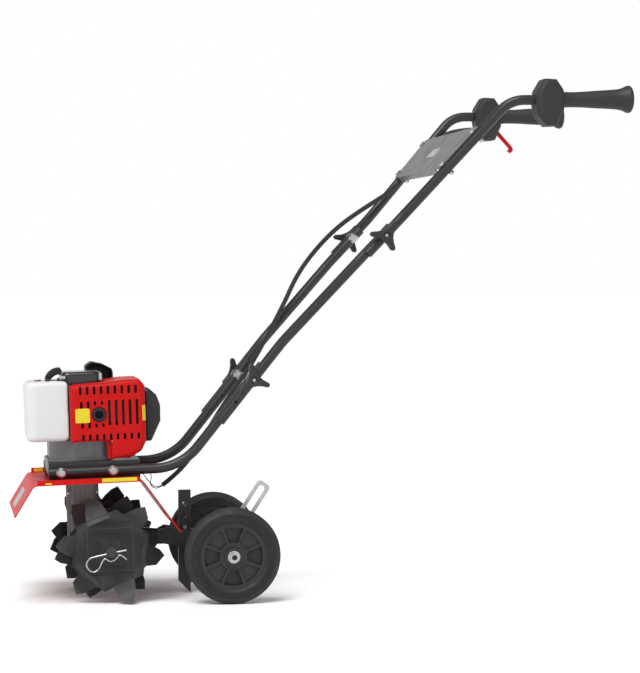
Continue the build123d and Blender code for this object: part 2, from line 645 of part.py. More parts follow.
def tyre(side):
    """A solid rubber tyre with a crowned tread and two grooves."""
    half = TYRE_W / 2
    centre = Plane(origin=(WHEEL_X, side * WHEEL_Y, WHEEL_Z), x_dir=(0, 1, 0), z_dir=(1, 0, 0))
    with BuildPart() as ring:
        with BuildSketch(centre):
            with BuildLine():
                Polyline((-half + 4, RIM_R), (-half, RIM_R + 6), (-half, WHEEL_R - 12))
                ThreePointArc((-half, WHEEL_R - 12), (-half + 4.5, WHEEL_R - 3.6), (-half + 12, WHEEL_R))
                Polyline((-half + 12, WHEEL_R), (half - 12, WHEEL_R))
                ThreePointArc((half - 12, WHEEL_R), (half - 4.5, WHEEL_R - 3.6), (half, WHEEL_R - 12))
                Polyline((half, WHEEL_R - 12), (half, RIM_R + 6), (half - 4, RIM_R),
                         (-half + 4, RIM_R))
            make_face()
            for groove in (-5.5, 5.5):
                with Locations((groove, WHEEL_R)):
                    Rectangle(2, 4, mode=Mode.SUBTRACT)
        revolve(axis=Axis((WHEEL_X, 0, WHEEL_Z), (0, 1, 0)))
    return ring


for hand, side in SIDES.items():
    save(wheel(side), f"wheel_{hand}")
    save(tyre(side), f"tyre_{hand}")

# slotted locking arm, standing on the wheel frame
ARM_ANGLE, ARM_LENGTH = 57.0, 148.0
with BuildPart() as adjust_arm:
    arm = turned(side_view(WHEEL_X, -(ARM_Y + 4.2), WHEEL_Z), ARM_ANGLE)
    with BuildSketch(arm):
        with Locations((ARM_LENGTH / 2 - 7, 0)):
            RectangleRounded(ARM_LENGTH + 14, 28, 8)
        with Locations((ARM_LENGTH - 43, 0)):
            SlotCenterToCenter(58, 13, mode=Mode.SUBTRACT)
        Circle(SLEEVE_R + 0.02, mode=Mode.SUBTRACT)
    extrude(amount=4)
save(adjust_arm, "adjust_arm")

# ---------------------------------------------------------------- carrier arm and depth stake
SOCKET_Z = (97.0, 125.0)
STAKE_TOP, STAKE_HOLES = 201.0, (173.5, 151.5, 129.5)
with BuildPart() as carrier_arm:
    with BuildSketch(endwise(CASE_R + 10, 0, 14)):
        Rectangle(46, 40)
    extrude(amount=6)
    front = OWN.from_local_coords((CASE_R + 12, 0, 12)).X
    with BuildSketch(side_view(0, 0, 0)):
        with BuildLine():
            Polyline((front, 96), (STAKE_X - 14, 100), (STAKE_X - 14, 122), (front, 132), close=True)
        make_face()
    extrude(amount=4, both=True)
    for low, high in ((98, 102), (120, 124)):
        with BuildSketch(side_view(0, 0, 0)):
            with Locations(((front + STAKE_X - 14) / 2, (low + high) / 2)):
                Rectangle(STAKE_X - 14 - front, high - low)
        extrude(amount=13, both=True)
    with BuildSketch(Plane.XY.offset(SOCKET_Z[0])):
        with Locations((STAKE_X, 0)):
            RectangleRounded(STAKE_W + 12, 24, 3)
    extrude(amount=SOCKET_Z[1] - SOCKET_Z[0])
    with BuildSketch(Plane.XY.offset(SOCKET_Z[0])):
        with Locations((STAKE_X, 0)):
            Rectangle(STAKE_W + 0.8, STAKE_T + 0.8)
    extrude(amount=SOCKET_Z[1] - SOCKET_Z[0], mode=Mode.SUBTRACT)
    bar(side_view(PIVOT_X, ARM_Y - 2.6, PIVOT_Z), 9, 2 * ARM_Y - 5.2)
    bar(side_view(PIVOT_X, ARM_Y + 7.5, PIVOT_Z), 4, 2 * ARM_Y + 15)
    for side in (-1, 1):
        clip = Plane(origin=(PIVOT_X, side * (ARM_Y + 4.5), PIVOT_Z), z_dir=(0, side, 0))
        bar(clip, 7, 1.5)
save(carrier_arm, "carrier_arm")

with BuildPart() as depth_stake:
    with BuildSketch(side_view(STAKE_X, 0, 0)):
        with BuildLine():
            Polyline((-STAKE_W / 2, STAKE_TOP), (STAKE_W / 2, STAKE_TOP), (STAKE_W / 2, 3),
                     (STAKE_W / 2 - 2, 3), (-STAKE_W / 2, 25), close=True)
        make_face()
        for height in STAKE_HOLES:
            with Locations((0, height)):
                Circle(4, mode=Mode.SUBTRACT)
    extrude(amount=STAKE_T / 2, both=True)
save(depth_stake, "depth_stake")

PIN_R = 3.7
with BuildPart() as stake_pin:
    bar(side_view(STAKE_X, 14, STAKE_HOLES[-1]), PIN_R, 28)
    bar(side_view(STAKE_X, 15.7, STAKE_HOLES[-1]), 5.0, 2.2)
save(stake_pin, "stake_pin")

# ---------------------------------------------------------------- clutch and crank train
HOUSING_X = (-104.0, 10.0)
with BuildPart() as clutch_drum:
    bar(level(DRIVE_X, 0, 176), 36, 22)
    bar(level(DRIVE_X, 0, 179), 33, 22, Mode.SUBTRACT)
    bar(level(DRIVE_X, 0, 172), 11, 7.5)
    bar(level(DRIVE_X, 0, 160), SHAFT_R, 30, Mode.SUBTRACT)
save(clutch_drum, "clutch_drum")

with BuildPart() as clutch_housing:
    with BuildSketch(level(0, 0, DECK_Z + DECK_T)):
        with Locations(((HOUSING_X[0] + HOUSING_X[1]) / 2, 0)):
            RectangleRounded(HOUSING_X[1] - HOUSING_X[0], 104, 14)
    extrude(amount=38)
    with BuildSketch(level(0, 0, DECK_Z + DECK_T)):
        with Locations(((HOUSING_X[0] + HOUSING_X[1]) / 2, 0)):
            RectangleRounded(HOUSING_X[1] - HOUSING_X[0] + 8, 112, 16)
    extrude(amount=5)
    for x in range(int(HOUSING_X[0]) + 18, int(HOUSING_X[1]) - 10, 16):
        box_between((x - 1.5, x + 1.5), (-54, 54), (DECK_Z + 9, DECK_Z + 34))
    bar(level(DRIVE_X, 0, DECK_Z + DECK_T + 4), 40, 40, Mode.SUBTRACT)
    bar(level(DRIVE_X, 0, DECK_Z + DECK_T), 16, 20, Mode.SUBTRACT)
    for side in (-1, 1):
        for end in (-1, 1):
            spot = level(DRIVE_X + end * DECK_BOLT_X, side * DECK_BOLT_Y, DECK_Z + DECK_T)
            bar(spot, BOLT_R, 12, Mode.SUBTRACT)
            bar(spot.offset(6), 6.4, 40, Mode.SUBTRACT)
save(clutch_housing, "clutch_housing")

THROW, ROD = 15.0, 52.0
with BuildPart() as crankshaft:
    bar(level(DRIVE_X, 0, 183), SHAFT_R, CYL_Z - 6 - 183)
    bar(level(DRIVE_X, 0, CYL_Z + 6), SHAFT_R, 40)
    for z in (CYL_Z - 14, CYL_Z + 6):
        bar(level(DRIVE_X, 0, z), 24, 8)
    bar(level(DRIVE_X + THROW, 0, CYL_Z - 6), 5, 12)
    with BuildSketch(level(DRIVE_X, 0, 186)):
        Circle(32)
        Circle(20, mode=Mode.SUBTRACT)
        Rectangle(8, 70, mode=Mode.SUBTRACT)
    extrude(amount=10)
    box_between((DRIVE_X - 21, DRIVE_X + 21), (-4, 4), (187, 194))
save(crankshaft, "crankshaft")

with BuildPart() as flywheel:
    bar(level(DRIVE_X, 0, 208), 44, 8)
    bar(level(DRIVE_X, 0, 208), 14, 20)
    with BuildSketch(level(DRIVE_X, 0, 216)):
        with PolarLocations(31, 12):
            Rectangle(22, 2.4)
    extrude(amount=10)
    bar(level(DRIVE_X, 0, 208), SHAFT_R, 24, Mode.SUBTRACT)
save(flywheel, "flywheel")

CYL_BASE, CYL_TOP = -9.0, 52.0
with BuildPart() as crankcase:
    bar(level(DRIVE_X, 0, 204), 52, 28)
    bar(level(DRIVE_X, 0, 232), 32, 56)
    box_between((DRIVE_X, CYL_BASE), (-27, 27), (CYL_Z - 25, CYL_Z + 25))
    bar(level(DRIVE_X, 0, 204), 48, 25, Mode.SUBTRACT)
    bar(level(DRIVE_X, 0, CYL_Z - 18), 27, 36, Mode.SUBTRACT)
    bar(level(DRIVE_X, 0, 200), SHAFT_R + FIT, 100, Mode.SUBTRACT)
    bar(endwise(DRIVE_X, 0, CYL_Z), 19.0, 60, Mode.SUBTRACT)
save(crankcase, "crankcase")

with BuildPart() as piston_and_rod:
    pin_x = DRIVE_X + THROW + ROD
    bar(endwise(pin_x - 14, 0, CYL_Z), 19.9, 26)
    bar(endwise(pin_x - 14, 0, CYL_Z), 16.5, 22, Mode.SUBTRACT)
    bar(upright(pin_x, 17, CYL_Z), 4, 34)
    bar(level(DRIVE_X + THROW, 0, CYL_Z - 5.5), 10, 11)
    bar(level(DRIVE_X + THROW, 0, CYL_Z - 5.5), 5 + FIT, 11, Mode.SUBTRACT)
    box_between((DRIVE_X + THROW + 8, pin_x), (-4, 4), (CYL_Z - 4, CYL_Z + 4))
save(piston_and_rod, "piston_and_rod")

with BuildPart() as cylinder:
    bar(endwise(CYL_BASE, 0, CYL_Z), 26, CYL_TOP - CYL_BASE)
    for fin in range(9):
        x = CYL_BASE + 5 + fin * 6.5
        box_between((x, x + 2), (-34, 34), (CYL_Z - 26, CYL_Z + 26))
    box_between((CYL_BASE, CYL_BASE + 4), (-27, 27), (CYL_Z - 25, CYL_Z + 25))
    bar(endwise(CYL_BASE, 0, CYL_Z), 20, CYL_TOP - CYL_BASE - 8, Mode.SUBTRACT)
    bar(endwise(CYL_TOP - 10, 0, CYL_Z), 6.2, 14, Mode.SUBTRACT)
save(cylinder, "cylinder")

with BuildPart() as spark_plug:
    bar(endwise(CYL_TOP - 7, 0, CYL_Z), 6.1, 7)
    nut(endwise(CYL_TOP, 0, CYL_Z), 18, 8)
    bar(endwise(CYL_TOP + 8, 0, CYL_Z), 6, 14)
    bar(endwise(CYL_TOP + 22, 0, CYL_Z), 9, 22)
save(spark_plug, "spark_plug")

# ---------------------------------------------------------------- covers, tank, air and exhaust
COVER_X, COVER_Y, COVER_Z = (-64.5, 77.5), (-90.0, 42.0), (200.5, 310.5)
COVER_WALL = 2.5
OUTLET_X, OUTLET_Z = -10.5, 254.5
SLOT_PITCH, SLOT_W = 13.0, 5.0


def cover_outline(inset):
    """Side view of the slotted cover and its skirt, drawn in by the wall for the hollow."""
    roof, skirt = 318.0 - inset, DECK_Z + DECK_T + 0.6
    with BuildSketch(upright(0, COVER_Y[0] + inset, 0)) as outline:
        with BuildLine():
            Polyline((COVER_X[0] + inset, COVER_Z[0] - inset),
                     (COVER_X[0] + inset, COVER_Z[1] - inset),
                     (8 + inset, COVER_Z[1] + 4 - inset), (40, roof), (68 - inset, roof),
                     (COVER_X[1] - inset, roof - 12), (COVER_X[1] - inset, 200),
                     (68 - inset, 182), (46 - inset, skirt + 3), (10 + inset, skirt - inset),
                     (10 + inset, COVER_Z[0] - inset), close=True)
        make_face()
    return outline.sketch


COVER_ROUND = 10.0
with BuildPart() as cover_core:
    extrude(cover_outline(COVER_WALL), amount=COVER_Y[0] - COVER_Y[1] - 10)
    core_edges = cover_core.faces().sort_by(Axis.Y)[0].outer_wire().edges()
    fillet(core_edges, COVER_ROUND - COVER_WALL)

with BuildPart() as engine_cover:
    extrude(cover_outline(0), amount=COVER_Y[0] - COVER_Y[1])
    near_edges = engine_cover.faces().sort_by(Axis.Y)[0].outer_wire().edges()
    fillet(near_edges, COVER_ROUND)
    add(cover_core.part, mode=Mode.SUBTRACT)
    box_between((COVER_X[0] - 5, 4), (-48, 60), (280, 330), Mode.SUBTRACT)
    box_between((COVER_X[0] - 5, COVER_X[0] + 8), (-76, 60), (190, 330), Mode.SUBTRACT)
    box_between((0, 60), (-60, 60), (150, 208), Mode.SUBTRACT)
    box_between((60, 74), (-60, 60), (150, 230), Mode.SUBTRACT)
    bar(endwise(60, 0, CYL_Z), 16, 30, Mode.SUBTRACT)
    bar(upright(OUTLET_X, -60, OUTLET_Z), 14, 40, Mode.SUBTRACT)
    rows = {"top": (300.0, 11.0, range(9)), "bottom": (211.5, 7.0, range(9)),
            "long": (257.0, 43.0, range(4, 9)), "upper": (272.5, 9.0, (0, 1)),
            "lower": (234.5, 6.0, (0, 1)), "small_upper": (276.0, 3.0, (2, 3)),
            "small_lower": (233.8, 2.0, (2, 3))}
    for height, length, columns in rows.values():
        for column in columns:
            slot_x = -42.8 + SLOT_PITCH * column + (257.0 - height) * tan(radians(2.0))
            with BuildSketch(upright(slot_x, COVER_Y[0] + 8, height)) as gap:
                SlotCenterToCenter(length, SLOT_W, rotation=90)
            extrude(gap.sketch, amount=12, mode=Mode.SUBTRACT)
save(engine_cover, "engine_cover")

REAR_OUTLINE = [(78.2, 297), (90, 297), (104, 284), (110.8, 264), (110.5, 234), (92, 196), (78.2, 196)]
with BuildPart() as rear_cover:
    with BuildSketch(upright()):
        with BuildLine():
            Polyline(*REAR_OUTLINE, close=True)
        make_face()
    extrude(amount=40, both=True)
    chamfer(rear_cover.faces().filter_by(Axis.Y).edges(), 5)
    with BuildSketch(upright()):
        with BuildLine():
            Polyline((75, 293), (88, 293), (101, 281), (107.5, 263), (107.2, 236), (90, 200), (75, 200),
                     close=True)
        make_face()
    extrude(amount=35, both=True, mode=Mode.SUBTRACT)
save(rear_cover, "rear_cover")

with BuildPart() as muffler:
    box_between((-30, 48), (-84, -42), (236, 294))
    fillet(muffler.edges(), 5)
    bar(upright(20, -34.6, CYL_Z), 9, 10)
    bar(upright(OUTLET_X, -82, OUTLET_Z), 13, 11)
    bar(upright(OUTLET_X, -80, OUTLET_Z), 8, 16, Mode.SUBTRACT)
save(muffler, "muffler")

with BuildPart() as carburetor:
    box_between((6, 36), (34.5, 58), (240, 276))
    bar(upright(20, 34.5, CYL_Z), 16, -6)
    bar(level(20, 47, 276), 8, 12)
save(carburetor, "carburetor")

with BuildPart() as air_filter_cover:
    with BuildSketch(upright(0, 60, 0)):
        with BuildLine():
            Polyline((-24, 246), (-24, 340), (-12, 348), (10, 343), (28, 333), (30, 326), (30, 246),
                     close=True)
        make_face()
    extrude(amount=-44)
    fillet(air_filter_cover.faces().sort_by(Axis.Y)[-1].outer_wire().edges(), 6)
    with BuildSketch(upright(0, 58, 0)):
        with BuildLine():
            Polyline((-21, 249), (-21, 338), (-11, 344), (9, 340), (27, 330), (27, 249), close=True)
        make_face()
    extrude(amount=-40, mode=Mode.SUBTRACT)
save(air_filter_cover, "air_filter_cover")

TANK_X, TANK_Y, TANK_Z = (-146.5, -66.5), (-75.0, 40.0), (205.0, 319.0)
CAP_SPOT = (-120.0, -18.0)
CAP_WELL = TANK_Z[1] - 16.0  # floor of the well that the cap sits in
with BuildPart() as fuel_tank:
    box_between(TANK_X, TANK_Y, TANK_Z)
    box_between((-95.5, TANK_X[1] + 1), (-56, TANK_Y[1] + 1), (200, 330), Mode.SUBTRACT)
    verticals = fuel_tank.edges().filter_by(Axis((0, 0, 0), OWN_Z))
    fillet(verticals.filter_by(lambda edge: OWN.to_local_coords(edge.center()).X < -140), 22)
    fillet(fuel_tank.faces().sort_by(Axis((0, 0, 0), OWN_Z))[-1].outer_wire().edges(), 9)
    fillet(fuel_tank.faces().sort_by(Axis((0, 0, 0), OWN_Z))[0].outer_wire().edges(), 9)
    bar(level(*CAP_SPOT, CAP_WELL), 20.5, 20, Mode.SUBTRACT)
    bar(level(*CAP_SPOT, CAP_WELL - 1), 15, 11)
    bar(level(*CAP_SPOT, TANK_Z[0] + 60), 11, 80, Mode.SUBTRACT)
    box_between((TANK_X[0] + 4, -100), (TANK_Y[0] + 22, TANK_Y[1] - 22), (TANK_Z[0] + 4, CAP_WELL - 6),
                Mode.SUBTRACT)
save(fuel_tank, "fuel_tank")

with BuildPart() as fuel_cap:
    bar(level(*CAP_SPOT, CAP_WELL + 0.4), 19, 15)
    bar(level(*CAP_SPOT, CAP_WELL), 15.3, 10.4, Mode.SUBTRACT)
save(fuel_cap, "fuel_cap")

# ---------------------------------------------------------------- recoil starter
STARTER_X, STARTER_Y, STARTER_Z = (-77.0, 1.0), (-42.0, 42.0), (288.5, 334.0)
REEL_R = 28.0
with BuildPart() as starter_housing:
    box_between(STARTER_X, STARTER_Y, STARTER_Z)
    verticals = starter_housing.edges().filter_by(Axis((0, 0, 0), OWN_Z))
    fillet(verticals, 14)
    fillet(starter_housing.faces().sort_by(Axis((0, 0, 0), OWN_Z))[-1].outer_wire().edges(), 8)
    bar(level(DRIVE_X, 0, 280), 32, 38, Mode.SUBTRACT)
    bar(level(DRIVE_X, 0, 306), 5, 20)
    box_between((STARTER_X[0] - 3, STARTER_X[0] + 6), (38, 47), (300, 320))
    bar(endwise(STARTER_X[0] - 4, 43, 310), 2.6, 16, Mode.SUBTRACT)
save(starter_housing, "starter_housing")

with BuildPart() as starter_reel:
    bar(level(DRIVE_X, 0, 306.5), REEL_R, 9)
    with BuildSketch(level(DRIVE_X, 0, 309)) as groove:
        Circle(REEL_R + 1)
        Circle(REEL_R - 6, mode=Mode.SUBTRACT)
    extrude(groove.sketch, amount=4, mode=Mode.SUBTRACT)
    bar(level(DRIVE_X, 0, 300), 5 + FIT, 30, Mode.SUBTRACT)
save(starter_reel, "starter_reel")

PULL_X, PULL_Y = -88.0, 50.0
with BuildPart() as starter_grip:
    with BuildSketch(upright(PULL_X, PULL_Y + 6, 0)):
        with BuildLine():
            ThreePointArc((-14, 300), (-9, 331), (14, 340))
            Polyline((14, 340), (18, 334), (18, 326))
            ThreePointArc((18, 326), (0, 321), (-6, 300))
            Line((-6, 300), (-14, 300))
        make_face()
    extrude(amount=14)
    fillet(starter_grip.edges(), 2)
save(starter_grip, "starter_grip")

# ---------------------------------------------------------------- throttle conduit
CONDUIT_R = 5.0
LOWER_CABLE = [(-286, 25, 208), (-262, 28, 226), (-232, 38, 256), (-200, 54, 300), (-168, 68, 350),
               (-134, 69, 398), (-99, 76, 446), (-62, 98, 508)]
UPPER_CABLE = [(-62, 98, 508), (-36, 113.4, 551.6), (-6, 118, 616), (34, 128, 668), (84, 140, 716),
               (142, 154, 754), (200, 170, 788), (248, 186, 838), (300, 203, 896), (344, 220, 916),
               (385, 229, 918)]


def conduit(points, name):
    path_points = [Vector(*point) for point in points]
    radii = []
    for before, here, after in zip(path_points, path_points[1:], path_points[2:]):
        run = min((here - before).length, (after - here).length)
        half_turn = radians((here - before).get_angle(after - here)) / 2
        radii.append(0.45 * run / tan(half_turn))
    print(name, "bend radii", [round(radius) for radius in radii])
    with BuildPart() as piece:
        with BuildLine() as route:
            FilletPolyline(*path_points, radius=radii)
        with BuildSketch(Plane(origin=route.line @ 0, z_dir=route.line % 0)):
            Circle(CONDUIT_R)
        sweep(path=route.line)
    length = sum(edge.length for edge in route.edges())
    full = pi * CONDUIT_R**2 * length
    print(name, "length", round(length), "volume over full", round(piece.part.volume / full, 4))
    save(piece, name)


conduit(LOWER_CABLE, "control_cable_lower")
conduit(UPPER_CABLE, "control_cable_upper")
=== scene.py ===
"""Looks for the mini tiller: materials for the CAD nodes, and detailed pieces for the moulded,
rubber and wire parts. Metres, in the row frame: X rearward, Y to the throttle side, Z up."""

import json
import math

import bmesh
import bpy
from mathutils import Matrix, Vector


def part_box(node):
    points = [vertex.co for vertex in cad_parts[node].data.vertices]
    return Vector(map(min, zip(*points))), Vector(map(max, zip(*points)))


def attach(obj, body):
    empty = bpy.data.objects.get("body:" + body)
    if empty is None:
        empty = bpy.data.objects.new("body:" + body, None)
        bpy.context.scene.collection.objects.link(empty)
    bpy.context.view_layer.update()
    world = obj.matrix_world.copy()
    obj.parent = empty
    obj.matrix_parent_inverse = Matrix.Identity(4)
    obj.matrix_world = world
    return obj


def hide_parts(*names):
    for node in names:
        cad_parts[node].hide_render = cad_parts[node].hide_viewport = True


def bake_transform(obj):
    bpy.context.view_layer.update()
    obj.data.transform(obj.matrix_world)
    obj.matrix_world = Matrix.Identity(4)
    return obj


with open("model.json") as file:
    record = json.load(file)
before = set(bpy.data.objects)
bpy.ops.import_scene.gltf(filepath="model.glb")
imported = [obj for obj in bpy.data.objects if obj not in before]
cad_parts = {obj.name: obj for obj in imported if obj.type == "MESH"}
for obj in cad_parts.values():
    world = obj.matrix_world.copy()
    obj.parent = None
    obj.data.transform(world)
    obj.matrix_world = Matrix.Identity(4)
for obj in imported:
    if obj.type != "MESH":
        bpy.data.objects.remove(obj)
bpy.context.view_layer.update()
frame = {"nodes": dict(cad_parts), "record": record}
scene = bpy.context.scene
NODES = frame["nodes"]
SLOT_OF = {part["node"]: part["material_slot"] for part in frame["record"]["subparts"]}
BODY_OF = {n: body for body, ns in frame["record"]["behaviour"]["bodies"].items() for n in ns}
SIDES = {"left": -1, "right": 1}


# ------------------------------------------------------------------ material tools
class Look:
    """One procedural material: a principled shader and short ways to add detail to it."""

    def __init__(self, name, color, roughness, **sockets):
        self.material = bpy.data.materials.new(name)
        self.material.use_nodes = True
        self.tree = self.material.node_tree
        self.shader = self.tree.nodes["Principled BSDF"]
        self.color = (*color, 1)
        self.shader.inputs["Base Color"].default_value = self.color
        self.shader.inputs["Roughness"].default_value = roughness
        for socket, value in sockets.items():
            self.shader.inputs[socket.replace("_", " ")].default_value = value
        self.place = self.node("ShaderNodeTexCoord").outputs["Object"]

    def node(self, kind, **values):
        made = self.tree.nodes.new(kind)
        for name, value in values.items():
            if hasattr(made, name):
                setattr(made, name, value)
            else:
                made.inputs[name.replace("_", " ")].default_value = value
        return made

    def link(self, source, target):
        self.tree.links.new(source, target)

    def noise(self, scale, detail=3.0, stretch=None):
        texture = self.node("ShaderNodeTexNoise", Scale=scale, Detail=detail)
        place = self.place
        if stretch:
            mapping = self.node("ShaderNodeMapping", Scale=stretch)
            self.link(place, mapping.inputs["Vector"])
            place = mapping.outputs["Vector"]
        self.link(place, texture.inputs["Vector"])
        return texture.outputs["Fac"]

    def ramp(self, factor, low, high, low_color, high_color):
        ramp = self.node("ShaderNodeValToRGB")
        ramp.color_ramp.elements[0].position = low
        ramp.color_ramp.elements[1].position = high
        ramp.color_ramp.elements[0].color = (*low_color[:3], 1)
        ramp.color_ramp.elements[1].color = (*high_color[:3], 1)
        self.link(factor, ramp.inputs["Fac"])
        return ramp.outputs["Color"]

    def mottle(self, scale, amount, stretch=None):
        """Uneven base colour, darker and lighter by the amount."""
        dark = [c * (1 - amount) for c in self.color[:3]]
        light = [min(1, c * (1 + amount)) for c in self.color[:3]]
        self.link(self.ramp(self.noise(scale, 4, stretch), 0.3, 0.7, dark, light),
                  self.shader.inputs["Base Color"])
        return self

    def rough(self, scale, low, high, stretch=None):
        spread = self.node("ShaderNodeMapRange", From_Min=0.3, From_Max=0.7, To_Min=low, To_Max=high)
        self.link(self.noise(scale, 3, stretch), spread.inputs["Value"])
        self.link(spread.outputs["Result"], self.shader.inputs["Roughness"])
        return self

    def grain(self, scale, strength, distance=0.0004, stretch=None):
        bump = self.node("ShaderNodeBump", Strength=strength, Distance=distance)
        self.link(self.noise(scale, 2, stretch), bump.inputs["Height"])
        self.link(bump.outputs["Normal"], self.shader.inputs["Normal"])
        return self

    def edge_wear(self, color, start=0.54, end=0.6):
        """A lighter tone along convex edges, broken up by noise."""
        shape = self.node("ShaderNodeNewGeometry").outputs["Pointiness"]
        edge = self.node("ShaderNodeMapRange", From_Min=start, From_Max=end)
        self.link(shape, edge.inputs["Value"])
        broken = self.node("ShaderNodeMath", operation="MULTIPLY")
        self.link(edge.outputs["Result"], broken.inputs[0])
        self.link(self.noise(160), broken.inputs[1])
        mix = self.node("ShaderNodeMix", data_type="RGBA")
        old = self.shader.inputs["Base Color"].links
        if old:
            self.link(old[0].from_socket, mix.inputs[6])
        else:
            mix.inputs[6].default_value = self.color
        mix.inputs[7].default_value = (*color, 1)
        self.link(broken.outputs[0], mix.inputs[0])
        self.link(mix.outputs[2], self.shader.inputs["Base Color"])
        return self


def make_looks():
    return {
        "black_paint": Look("powder_coat_black", (0.021, 0.021, 0.022), 0.38, Specular_IOR_Level=0.4)
        .mottle(14, 0.1).rough(30, 0.33, 0.44).grain(260, 0.06, 0.0002),
        "tine_steel": Look("tine_paint", (0.013, 0.013, 0.014), 0.48, Specular_IOR_Level=0.35)
        .mottle(22, 0.2).rough(40, 0.42, 0.58).grain(240, 0.1, 0.0003)
        .edge_wear((0.06, 0.06, 0.06)),
        "red_paint": Look("fender_red", (0.5, 0.004, 0.004), 0.4, Specular_IOR_Level=0.14)
        .mottle(9, 0.06).rough(24, 0.36, 0.46).grain(300, 0.03, 0.0002),
        "red_plastic": Look("moulded_red", (0.47, 0.004, 0.004), 0.42, Specular_IOR_Level=0.14)
        .mottle(12, 0.06).rough(60, 0.36, 0.48).grain(420, 0.05, 0.0002),
        "black_plastic": Look("textured_black", (0.02, 0.02, 0.021), 0.5, Specular_IOR_Level=0.4)
        .mottle(18, 0.1).rough(50, 0.44, 0.58).grain(500, 0.12, 0.0002),
        "gloss_black": Look("gloss_black", (0.012, 0.012, 0.013), 0.2, Coat_Weight=0.35)
        .mottle(16, 0.08).rough(40, 0.16, 0.26).grain(200, 0.03, 0.0002),
        "grip_rubber": Look("grip_rubber", (0.021, 0.021, 0.022), 0.56, Specular_IOR_Level=0.4)
        .mottle(20, 0.1).rough(60, 0.5, 0.64).grain(420, 0.14, 0.0002),
        "tyre_rubber": Look("tyre_rubber", (0.019, 0.019, 0.019), 0.66, Specular_IOR_Level=0.4)
        .mottle(26, 0.14).rough(60, 0.58, 0.74).grain(300, 0.16, 0.0003),
        "zinc": Look("zinc_plate", (0.5, 0.5, 0.49), 0.3, Metallic=1.0)
        .mottle(60, 0.08).rough(90, 0.24, 0.38).grain(300, 0.04, 0.0002),
        "cast_alloy": Look("cast_alloy", (0.19, 0.19, 0.193), 0.5, Metallic=0.2)
        .mottle(24, 0.14).rough(70, 0.4, 0.56).grain(220, 0.2, 0.0003),
        "steel": Look("machined_steel", (0.42, 0.42, 0.42), 0.32, Metallic=1.0)
        .mottle(40, 0.08).rough(60, 0.24, 0.38, (1, 1, 12)).grain(300, 0.06, 0.0002, (1, 1, 12)),
        "bronze": Look("cut_bronze", (0.42, 0.28, 0.11), 0.34, Metallic=1.0)
        .mottle(50, 0.12).rough(70, 0.26, 0.44).grain(300, 0.06, 0.0002),
        "piston_alloy": Look("piston_alloy", (0.5, 0.5, 0.5), 0.3, Metallic=1.0)
        .mottle(50, 0.08).rough(70, 0.22, 0.4).grain(300, 0.05, 0.0002),
        "exhaust": Look("heatproof_black", (0.016, 0.016, 0.016), 0.64, Specular_IOR_Level=0.3)
        .mottle(30, 0.3).rough(60, 0.55, 0.72).grain(260, 0.16, 0.0003),
        "tank_white": Look("tank_white", (0.64, 0.65, 0.655), 0.4, Subsurface_Weight=0.3,
                           Subsurface_Scale=0.01, Specular_IOR_Level=0.35)
        .mottle(10, 0.02).rough(30, 0.34, 0.46).grain(260, 0.03, 0.0002),
        "plate_grey": Look("plate_grey", (0.11, 0.11, 0.113), 0.4, Specular_IOR_Level=0.4)
        .mottle(12, 0.08).rough(30, 0.34, 0.46).grain(300, 0.05, 0.0002),
    }


LOOKS = make_looks()
LABEL_LOOKS = {
    "yellow": Look("label_yellow", (0.66, 0.54, 0.008), 0.4).mottle(60, 0.06).rough(90, 0.34, 0.5),
    "pale": Look("label_pale", (0.36, 0.35, 0.35), 0.4).mottle(60, 0.06).rough(90, 0.34, 0.5),
}

for name, node in NODES.items():
    node.data.materials.clear()
    node.data.materials.append(LOOKS[SLOT_OF[name]].material)


# ------------------------------------------------------------------ mesh tools
def place_piece(piece, slot, body=None, nodes=()):
    """Material, slot, CAD body and the CAD nodes that the piece stands for."""
    piece.data.materials.clear()
    piece.data.materials.append(LOOKS[slot].material)
    if nodes:
        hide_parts(*nodes)
    if body:
        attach(piece, body)
    return piece


def new_mesh(name, fill):
    """An object whose mesh fill(bm) builds, shaded smooth below 40 degrees."""
    mesh = bpy.data.meshes.new(name)
    bm = bmesh.new()
    fill(bm)
    bmesh.ops.recalc_face_normals(bm, faces=bm.faces)
    bm.to_mesh(mesh)
    bm.free()
    piece = bpy.data.objects.new(name, mesh)
    scene.collection.objects.link(piece)
    smooth_by_angle(piece, 40)
    return piece


def smooth_by_angle(piece, degrees):
    bm = bmesh.new()
    bm.from_mesh(piece.data)
    for edge in bm.edges:
        edge.smooth = len(edge.link_faces) == 2 and edge.calc_face_angle(0) < math.radians(degrees)
    for face in bm.faces:
        face.smooth = True
    bm.to_mesh(piece.data)
    bm.free()


def apply_modifiers(piece):
    shaped = bpy.data.meshes.new_from_object(
        piece.evaluated_get(bpy.context.evaluated_depsgraph_get()))
    piece.modifiers.clear()
    piece.data = shaped


def moulded(node, voxel, rounds):
    """A soft-edged copy of a CAD node, as a moulding has, that stands for the node."""
    mesh = NODES[node].data.copy()
    piece = bpy.data.objects.new(f"{node}_moulding", mesh)
    scene.collection.objects.link(piece)
    remesh = piece.modifiers.new("even", "REMESH")
    remesh.mode, remesh.voxel_size = "VOXEL", voxel
    relax = piece.modifiers.new("round", "SMOOTH")
    relax.factor, relax.iterations = 0.5, rounds
    apply_modifiers(piece)
    for polygon in piece.data.polygons:
        polygon.use_smooth = True
    return place_piece(piece, SLOT_OF[node], BODY_OF[node], (node,))


def lathe(profile, steps, centre):
    """Fills a mesh with a closed (radius, y) profile turned about Y through the centre."""
    def fill(bm):
        rings = []
        for step in range(steps):
            angle = 2 * math.pi * step / steps
            rings.append([bm.verts.new((centre.x + r * math.cos(angle), centre.y + y,
                                        centre.z + r * math.sin(angle))) for r, y in profile])
        for step in range(steps):
            here, there = rings[step], rings[(step + 1) % steps]
            for i in range(len(profile)):
                j = (i + 1) % len(profile)
                bm.faces.new((here[i], here[j], there[j], there[i]))
    return fill


